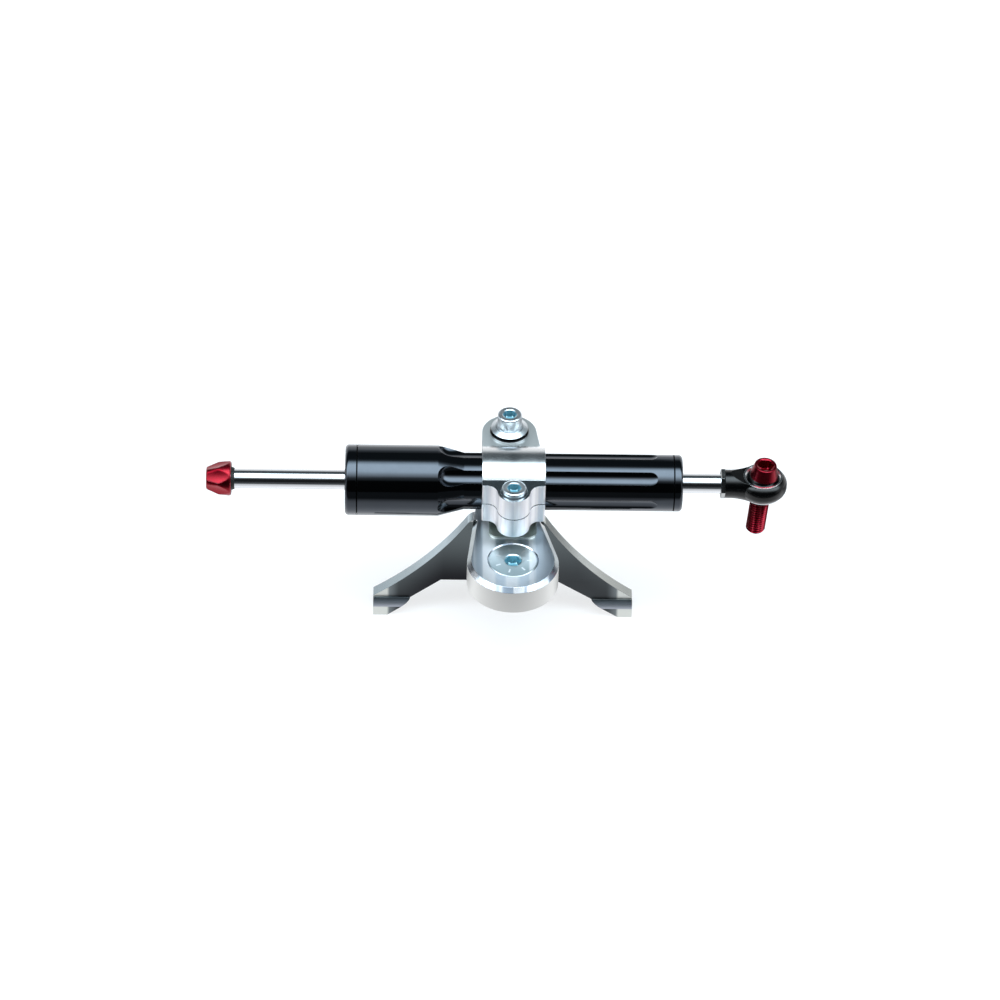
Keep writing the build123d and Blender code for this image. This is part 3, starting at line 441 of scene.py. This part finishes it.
def paint_leg_faces(coat):
    """The legs' polished front faces, painted dark as reflection and shade, darkest low at the
    root and lighter near the outer ends, with lighter grey pads, painted as reflection too, at the
    outer ends and on the toes."""
    front = coat.under(coat.facing_y, -0.45, 0.15)
    # Pads painted a lighter grey as reflection
    pads = coat.product(front, coat.under(coat.z, PADS_TOP, 1.0))
    coat.paint(pads, (0.56, 0.58, 0.55), 0.34)
    # The shade follows the legs down, so its height is told along their slope
    slope_from, slope, reflection_low, reflection_high = 28.0, 0.69, -22.0, 8.0
    beyond = coat.maths("MAXIMUM", coat.maths("SUBTRACT", coat.size(coat.x), slope_from), 0.0)
    height = coat.maths("ADD", coat.z, coat.product(beyond, slope))
    # Painted reflection and shade, darkest low at the root
    root_left, root_right = -42.0, 6.0
    root_shade = coat.product(coat.over(coat.x, root_left, 16.0), coat.under(coat.x, root_right, 6.0))
    low = coat.mix_colours(root_shade, (0.040, 0.044, 0.047), (0.013, 0.013, 0.0155))
    up = coat.span(height, reflection_low, reflection_high)
    painted_reflection = coat.mix_colours(up, low, (0.125, 0.145, 0.150))
    # Painted reflection, lighter near the outer ends
    left_light, right_light, light_soft = -48.6, 42.4, 2.6
    outer = coat.maths(
        "MAXIMUM", coat.under(coat.x, left_light, light_soft),
        coat.over(coat.x, right_light, light_soft),
    )
    painted_reflection = coat.mix_colours(coat.product(outer, 0.6), painted_reflection, (0.22, 0.25, 0.26))
    left_pad, right_pad, pad_soft = -50.9, 44.7, 0.7
    face = coat.product(
        front, coat.over(coat.y, BEHIND_BOSS + 0.5, 0.5), coat.under(coat.z, BOSS_TOP - 1.0, 0.5),
        coat.over(coat.x, left_pad, pad_soft), coat.under(coat.x, right_pad, pad_soft),
    )
    coat.paint(face, painted_reflection)


def paint_leg_edges(coat):
    """The legs' top edges, painted darker as reflection, bluer on the left leg."""
    neck_half, strength = 12.0, 0.9
    edge = coat.product(
        coat.over(coat.facing_z, 0.3, 0.1), coat.over(coat.y, BEHIND_BOSS - 2.0, 0.5),
        coat.over(coat.size(coat.x), neck_half, 1.5), strength,
    )
    # Painted reflection: blue-grey on the left leg, greyer on the right
    right = coat.over(coat.x, 0.0, 1.0)
    coat.paint(edge, coat.mix_colours(right, (0.36, 0.44, 0.48), (0.37, 0.39, 0.37)))


def paint_toe_rounds(coat):
    """The round over each toe, painted with shade from dark at its top to a painted highlight line
    at its foot.
    """
    toe = coat.product(
        coat.over(coat.z, TOE_FRONT, 0.03), coat.under(coat.z, TOE_TOP, 0.03),
        coat.over(coat.y, BEHIND_BOSS, 0.5), coat.under(coat.facing_y, 0.1, 0.05),
        coat.under(coat.size(coat.facing_x), 0.5, 0.1),
    )
    # Painted shade grading to a painted highlight line
    down = coat.span(coat.z, TOE_TOP - 0.3, TOE_FRONT - 0.1)
    shade = coat.mix_colours(down, (0.045, 0.050, 0.056), (0.50, 0.51, 0.56))
    coat.paint(toe, shade, coat.mix_numbers(down, 0.55, 0.8))


def paint_boss_wall(coat):
    """The raised pad under the clamp, painted dark olive as the clamp's shade, and the boss's
    plain round wall.
    """
    shaded_pad = coat.over(coat.z, BOSS_TOP + 0.15, 0.1)
    # Painted shade under the clamp
    coat.paint(coat.product(shaded_pad, 0.85), (0.27, 0.30, 0.26))
    coat.paint(shaded_pad, roughness=0.36)
    wall = coat.product(
        coat.walls(), coat.under(coat.y, BEHIND_BOSS, 1.0),
        coat.under(coat.z, BOSS_TOP + 0.1, 0.1),
    )
    coat.paint(wall, (0.80, 0.795, 0.77), 0.42)


# The painted highlight streaks over the boss's top: where each starts and ends in x, and its
# strength
HIGHLIGHT_STREAKS = ((-12.0, -6.5, 0.9), (-2.6, 2.8, 0.75), (7.0, 9.6, 0.65), (-15.6, -14.4, 0.5))
STREAK_SOFT = 0.8
STREAK_WANDER = 1.2


def paint_boss_top(coat):
    """The boss's bevel, painted in patches of highlight and shade, and its milled top, painted
    blue-grey as reflection, with painted highlight streaks that are also rougher.
    """
    bevel = coat.product(
        coat.over(coat.facing_z, 0.4, 0.1), coat.under(coat.facing_z, 0.9, 0.05),
        coat.under(coat.y, BEHIND_BOSS, 1.0),
    )
    # Painted highlight and shade in patches along the bevel
    patchy = coat.span(coat.noise_along(coat.x, 0.22, 1.0), 0.42, 0.58)
    bevel_shade = coat.mix_colours(patchy, (0.36, 0.42, 0.50), (0.86, 0.87, 0.90))
    # The neck's flanks painted darker as shade
    flank_half, flank_front = 13.0, -3.0
    flank = coat.product(
        coat.over(coat.size(coat.x), flank_half, 1.0), coat.over(coat.y, flank_front, 3.0)
    )
    coat.paint(bevel, coat.mix_colours(flank, bevel_shade, (0.40, 0.44, 0.45)))
    # The top painted blue-grey as reflection
    top = coat.product(
        coat.over(coat.facing_z, 0.9, 0.05), coat.under(coat.z, BOSS_TOP + 0.6, 0.3),
        coat.over(coat.z, ABOVE_TOES, 0.5),
    )
    coat.paint(top, (0.56, 0.63, 0.69), 0.34)
    # Painted highlight streaks, rougher where they lie
    wander = coat.product(coat.noise_along(coat.x, 0.9, 2.0), STREAK_WANDER)
    across = coat.maths("ADD", coat.x, wander)
    highlight_streaks = 0.0
    for start, end, strength in HIGHLIGHT_STREAKS:
        streak = coat.product(
            coat.over(across, start, STREAK_SOFT), coat.under(across, end, STREAK_SOFT), strength
        )
        highlight_streaks = coat.maths("MAXIMUM", highlight_streaks, streak)
    coat.paint(coat.product(highlight_streaks, top), (0.93, 0.94, 0.95), 0.46)


def bracket_detail(coat):
    """Every face of the bracket, in the order in which one is painted over another."""
    paint_plate_back_shade(coat)
    paint_leg_faces(coat)
    paint_leg_edges(coat)
    paint_toe_rounds(coat)
    paint_boss_wall(coat)
    paint_boss_top(coat)


def body_detail(coat):
    """The dark joint lines of the two screwed-in caps."""
    half_line = 0.28
    for joint in CAP_JOINTS:
        away = coat.size(coat.maths("SUBTRACT", coat.x, joint))
        coat.paint(coat.under(away, half_line, 0.05), (0.002, 0.002, 0.002), 0.6)


def eye_bolt_detail(coat):
    """Painted shade in the thread roots round the leaning bolt."""
    thread_root, thread_top = 3.62, 24.0
    reach = coat.add("VectorMath", {0: coat.place, 1: tuple(EYE)}, operation="SUBTRACT")
    crossed = coat.add(
        "VectorMath", {0: reach.outputs[0], 1: tuple(LEAN_WAY)}, operation="CROSS_PRODUCT"
    )
    away = coat.add("VectorMath", {0: crossed.outputs[0]}, operation="LENGTH").outputs["Value"]
    root_shade = coat.product(
        coat.under(away, thread_root, 0.22), coat.under(coat.z, thread_top, 1.0), 0.8
    )
    # Painted shade in the thread roots
    coat.paint(root_shade, (0.03, 0.001, 0.003))


def clamp_screw_detail(coat):
    """The clamp screw's blue socket."""
    paint_socket(coat, coat.distance(CLAMP_SCREW), M6_SOCKET)


def pivot_detail(coat):
    """The pivot's blue socket and the shaded root and rim of its washer."""
    away = coat.distance(PIVOT)
    paint_socket(coat, away, M6_SOCKET)
    washer, root_edge = coat.under(coat.z, WASHER_TOP, 0.05), 5.7
    coat.paint(coat.product(washer, coat.under(away, root_edge, 0.25), 0.7), (0.16, 0.18, 0.20))
    coat.paint(coat.product(washer, coat.under(coat.facing_z, 0.25, 0.1)), (0.01, 0.01, 0.012))


def race_detail(coat):
    """Shade in the gap between the pivot's race and its ball."""
    race_edge = 8.0
    coat.paint(coat.under(coat.distance(PIVOT), race_edge, 0.15), (0.006, 0.006, 0.007))


def clamp_detail(coat):
    """A polished top on the lobe painted blue-grey as reflection, a plain one on the rear lug, and
    drawn walls painted darker low down as shade.
    """
    top = coat.over(coat.facing_z, 0.97, 0.02)
    lobe = coat.product(top, coat.under(coat.y, BEHIND_LOBE, 1.0))
    # Painted reflection: a blue-grey top on the lobe
    coat.paint(lobe, (0.58, 0.64, 0.68))
    lug = coat.product(top, coat.over(coat.y, BEFORE_LUG, 1.0))
    coat.paint(lug, (0.76, 0.80, 0.80))
    wall = coat.walls()
    drawn = coat.span(coat.noise_along(coat.x, 0.8, 2.0), 0.35, 0.65)
    coat.paint(wall, coat.mix_colours(drawn, (0.84, 0.84, 0.88), (0.95, 0.95, 0.96)), 0.44)
    # Painted shade on the walls' lower part
    shade_top = 20.0
    low = coat.product(wall, coat.under(coat.z, shade_top, 3.0), 0.5)
    coat.paint(low, (0.52, 0.55, 0.56))
    coat.paint(lobe, roughness=0.14)
    coat.paint(lug, roughness=0.44)


# Colours and constants that several finishes share
ALUMINIUM = ((0.84, 0.85, 0.86), (0.74, 0.76, 0.78))
BEARING = ((0.72, 0.73, 0.74), (0.62, 0.63, 0.64))
ZINC = ((0.72, 0.76, 0.79), (0.60, 0.67, 0.71))
METAL = {"Metallic": 1.0, "Anisotropic": 0.3}
DRAWN_METAL = {"Metallic": 1.0, "Anisotropic": 0.2}
RED_COATED = {**DRAWN_METAL, "Coat Weight": 0.25, "Coat Roughness": 0.14, "Coat IOR": 1.5}


def dress(names, *finish, **settings):
    """Give solids a finish."""
    material = surface(*finish, **settings)
    for name in names:
        for place in cad_nodes[name].material_slots:
            place.material = material


def dress_solids():
    """Every solid's finish."""
    dress(
        ("bracket",), "bracket_aluminium", ALUMINIUM, rough=(0.14, 0.24), lay=FRAME_SCREW,
        step=0.12, depth=0.003, bevel=0.25, cloud=0.15, detail=bracket_detail, constants=METAL,
    )
    dress(
        ("clamp_lower", "clamp_upper"), "clamp_aluminium", ALUMINIUM, rough=(0.19, 0.25),
        lay="along", step=0.10, depth=0.002, bevel=0.25, cloud=0.15, detail=clamp_detail,
        constants=METAL,
    )
    dress(
        ("rod_end_race",), "bearing_steel", BEARING, rough=(0.08, 0.18), lay=EYE[:2],
        step=0.08, depth=0.002, constants=METAL,
    )
    dress(
        ("pivot_race",), "pivot_race_steel", BEARING, rough=(0.16, 0.26), lay=PIVOT,
        step=0.08, depth=0.002, detail=race_detail, constants=METAL,
    )
    dress(
        ("pivot_ball", "rod_end_ball"), "blackened_bearing_steel",
        ((0.030, 0.031, 0.032), (0.020, 0.021, 0.022)), rough=(0.10, 0.20), lay=EYE[:2],
        step=0.08, depth=0.002, constants=METAL,
    )
    dress(
        ("damper_body", "left_end_cap", "right_end_cap"), "black_anodised",
        ((0.066, 0.074, 0.086), (0.058, 0.065, 0.076)), rough=(0.06, 0.10), lay="along",
        step=0.09, depth=0.0006, bevel=0.08, detail=body_detail, constants=DRAWN_METAL,
    )
    dress(
        ("rod_end_housing",), "black_coated_steel",
        ((0.0006, 0.0007, 0.0008), (0.0012, 0.0013, 0.0015)), rough=(0.14, 0.22),
        lay="upright", step=0.4, depth=0.0015, grain=0.6, bevel=0.3,
        constants={"Metallic": 0.0, "IOR": 1.45, "Specular IOR Level": 0.5},
    )
    dress(
        ("piston_rod",), "hard_chrome", ((0.74, 0.75, 0.77), (0.69, 0.70, 0.72)),
        rough=(0.10, 0.15), lay="along", step=0.05, depth=0.0004, bevel=0.1,
        constants=DRAWN_METAL,
    )
    dress(
        ("jam_nut",), "nickel_steel", ((0.38, 0.39, 0.39), (0.30, 0.31, 0.31)),
        rough=(0.15, 0.28), lay="along", step=0.10, depth=0.003, constants=METAL,
    )
    dress(
        ("adjuster_knob",), "red_anodised", ((0.29, 0.006, 0.017), (0.22, 0.004, 0.012)),
        rough=(0.24, 0.34), lay="along", step=0.12, depth=0.002, bevel=1.0,
        constants=RED_COATED,
    )
    dress(
        ("rod_end_bolt",), "red_anodised_bolt", ((0.27, 0.004, 0.017), (0.20, 0.003, 0.012)),
        rough=(0.22, 0.32), lay="upright", step=0.12, depth=0.001, bevel=0.05,
        detail=eye_bolt_detail, constants=RED_COATED,
    )
    dress(
        ("bump_ring", "rod_seals", "rod_wipers", "cap_o_rings", "gas_piston_rings"),
        "black_rubber", ((0.006, 0.006, 0.006), (0.012, 0.012, 0.012)), rough=(0.45, 0.65),
        lay="along", step=0.35, depth=0.006, grain=0.8,
        constants={"Metallic": 0.0, "Specular IOR Level": 0.4},
    )
    dress(
        ("guide_bushes",), "turned_bronze", ((0.55, 0.38, 0.17), (0.45, 0.30, 0.13)),
        rough=(0.2, 0.35), lay="along", step=0.12, depth=0.004, constants=METAL,
    )
    dress(
        ("inner_sleeve", "gas_piston", "piston"), "turned_aluminium",
        ((0.76, 0.77, 0.78), (0.68, 0.69, 0.70)), rough=(0.18, 0.32), lay="along",
        step=0.15, depth=0.006, constants=METAL,
    )
    dress(
        ("piston_band",), "slide_band", ((0.30, 0.27, 0.22), (0.22, 0.20, 0.17)),
        rough=(0.4, 0.6), lay="along", step=0.2, depth=0.004, grain=0.6,
        constants={"Metallic": 0.0},
    )
    dress(
        ("piston_clips", "knob_clip", "detent_ball", "detent_spring", "metering_needle",
         "gas_plug"),
        "plain_steel", ((0.52, 0.53, 0.54), (0.42, 0.43, 0.44)), rough=(0.22, 0.36),
        lay="along", step=0.1, depth=0.004, constants=METAL,
    )
    dress(
        ("frame_screw",), "frame_screw_zinc", ZINC, rough=(0.24, 0.38), lay=FRAME_SCREW,
        step=0.10, depth=0.0006, detail=frame_screw_detail, constants={"Metallic": 1.0},
    )
    dress(
        ("clamp_screw",), "clamp_screw_zinc", ZINC, rough=(0.24, 0.38), lay=CLAMP_SCREW,
        step=0.10, depth=0.003, detail=clamp_screw_detail, constants=METAL,
    )
    dress(
        ("pivot_bolt", "pivot_washer"), "pivot_zinc", ZINC, rough=(0.24, 0.38), lay=PIVOT,
        step=0.10, depth=0.003, detail=pivot_detail, constants=METAL,
    )


# Screws with real threads and sockets, made ring by ring from tip to socket
SIDES = 96
SHARP_ANGLE = 14.0
# An ISO thread's depth, half crest and flank, as shares of its pitch
THREAD_DEPTH = 0.6134
HALF_CREST = 0.0625
FLANK = 0.3125


def ring(height, radius_at):
    """One ring of points at a height, its radius told for each angle."""
    points = []
    for number in range(SIDES):
        angle = 2 * pi * number / SIDES
        radius = radius_at(angle)
        points.append(Vector((radius * cos(angle), radius * sin(angle), height)))
    return points


def circles(*sizes):
    """Round rings, each told by its radius and its height."""
    return [ring(height, lambda angle: radius) for radius, height in sizes]


def hexagon(flats, height):
    """A six-sided ring, told by its width across flats."""
    return ring(height, lambda angle: flats / 2 / cos((angle % (pi / 3)) - pi / 6))


def thread_radius(outer, pitch, height, angle):
    """A screw thread's radius at a height and an angle."""
    turn = (height / pitch - angle / (2 * pi)) % 1.0
    away = min(turn, 1.0 - turn)
    return outer - THREAD_DEPTH * pitch * min(1.0, max(0.0, (away - HALF_CREST) / FLANK))


def thread_rings(outer, pitch, start, end, bevel, steps=10):
    """Rings of a thread that starts with a bevelled tip, with so many steps to a pitch."""
    count = round((end - start) / pitch * steps)
    rings = []
    for number in range(count + 1):
        height = start + (end - start) * number / count
        cap = min(outer, outer - bevel + (height - start))
        rings.append(ring(
            height, lambda angle: min(thread_radius(outer, pitch, height, angle), cap)
        ))
    return rings


def socket_rings(top, flats, depth, mouth=0.25):
    """Rings down into a hexagon socket with a chamfered mouth and a drilled bottom."""
    floor, drill_point = 0.35, 0.3
    return [
        *circles((flats / sqrt(3) + mouth, top)),
        hexagon(flats, top - mouth),
        hexagon(flats, top - depth + floor),
        *circles((flats / 2 - 0.1, top - depth), (0.3, top - depth - drill_point)),
    ]


def ring_mesh(name, rings):
    """A closed mesh through rings, smooth but for its sharp edges."""
    work = bmesh.new()
    rows = [[work.verts.new(point * MM) for point in points] for points in rings]
    for below, above in zip(rows, rows[1:]):
        for number in range(SIDES):
            following = (number + 1) % SIDES
            work.faces.new((below[number], below[following], above[following], above[number]))
    work.faces.new(list(reversed(rows[0])))
    work.faces.new(rows[-1])
    work.normal_update()
    for face in work.faces:
        face.smooth = True
    for edge in work.edges:
        if len(edge.link_faces) == 2 and edge.calc_face_angle() > radians(SHARP_ANGLE):
            edge.smooth = False
    mesh = bpy.data.meshes.new(name)
    work.to_mesh(mesh)
    work.free()
    return mesh


def place_screw(node, body, matrix, rings):
    """Put a threaded screw in place of its plain solid, on its body, in the same finish."""
    name = node + "_threaded"
    mesh = ring_mesh(name, rings)
    mesh.materials.append(cad_nodes[node].material_slots[0].material)
    mesh.transform(matrix)
    piece = bpy.data.objects.new(name, mesh)
    bpy.context.scene.collection.objects.link(piece)
    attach(piece, body)
    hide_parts(node)


def make_eye_bolt():
    """The rod end's M8 bolt, which leans in its bearing. Heights are from the eye."""
    seat, top = 5.02, 10.8
    rings = thread_rings(outer=4.0, pitch=1.25, start=-25.6, end=-5.4, bevel=1.2)
    rings += circles(
        (3.8, -5.38), (3.8, seat), (5.45, seat), (5.9, seat + 0.4), (4.6, top - 0.4),
        (4.5, top - 0.12), (4.2, top),
    )
    rings += socket_rings(top, flats=6.0, depth=4.6)
    matrix = Matrix.Translation(EYE * MM) @ LEAN
    place_screw("rod_end_bolt", "end_bolt", matrix, rings)


def make_frame_screw():
    """The countersunk M10 frame screw with its flat head."""
    shank, top = 4.8, 11.85
    rings = thread_rings(outer=5.0, pitch=1.5, start=-8.0, end=-0.02, bevel=0.8)
    rings += circles(
        (shank, 0.0), (shank, 6.3), (9.98, 11.47), (10.0, 11.60), (9.75, top),
    )
    rings += socket_rings(top, flats=6.0, depth=4.1, mouth=0.3)
    place_screw("frame_screw", "frame", Matrix.Identity(4), rings)


def make_cap_screw(node, body, axis, seat, tip):
    """An M6 socket head screw whose head sits at a height, with its thread from a tip."""
    shank, plain = 2.95, 8.0
    rings = thread_rings(outer=3.0, pitch=1.0, start=tip, end=seat - plain, bevel=0.8, steps=6)
    rings += circles(
        (shank, seat - plain + 0.1), (shank, seat), (4.8, seat), (5.0, seat + 0.2),
        (5.0, seat + 5.35), (4.85, seat + 5.75), (4.45, seat + 6.0),
    )
    rings += socket_rings(seat + 6.0, flats=5.0, depth=3.4)
    matrix = Matrix.Translation(Vector((*axis, 0.0)) * MM)
    place_screw(node, body, matrix, rings)


make_camera()
make_world()
make_floor()
dress_solids()
make_eye_bolt()
make_frame_screw()
make_cap_screw("clamp_screw", "damper", CLAMP_SCREW, seat=33.7, tip=19.0)
make_cap_screw("pivot_bolt", "frame", PIVOT, seat=41.4, tip=6.4)

scene = bpy.context.scene
scene.view_settings.view_transform = "Standard"
bpy.context.view_layer.update()
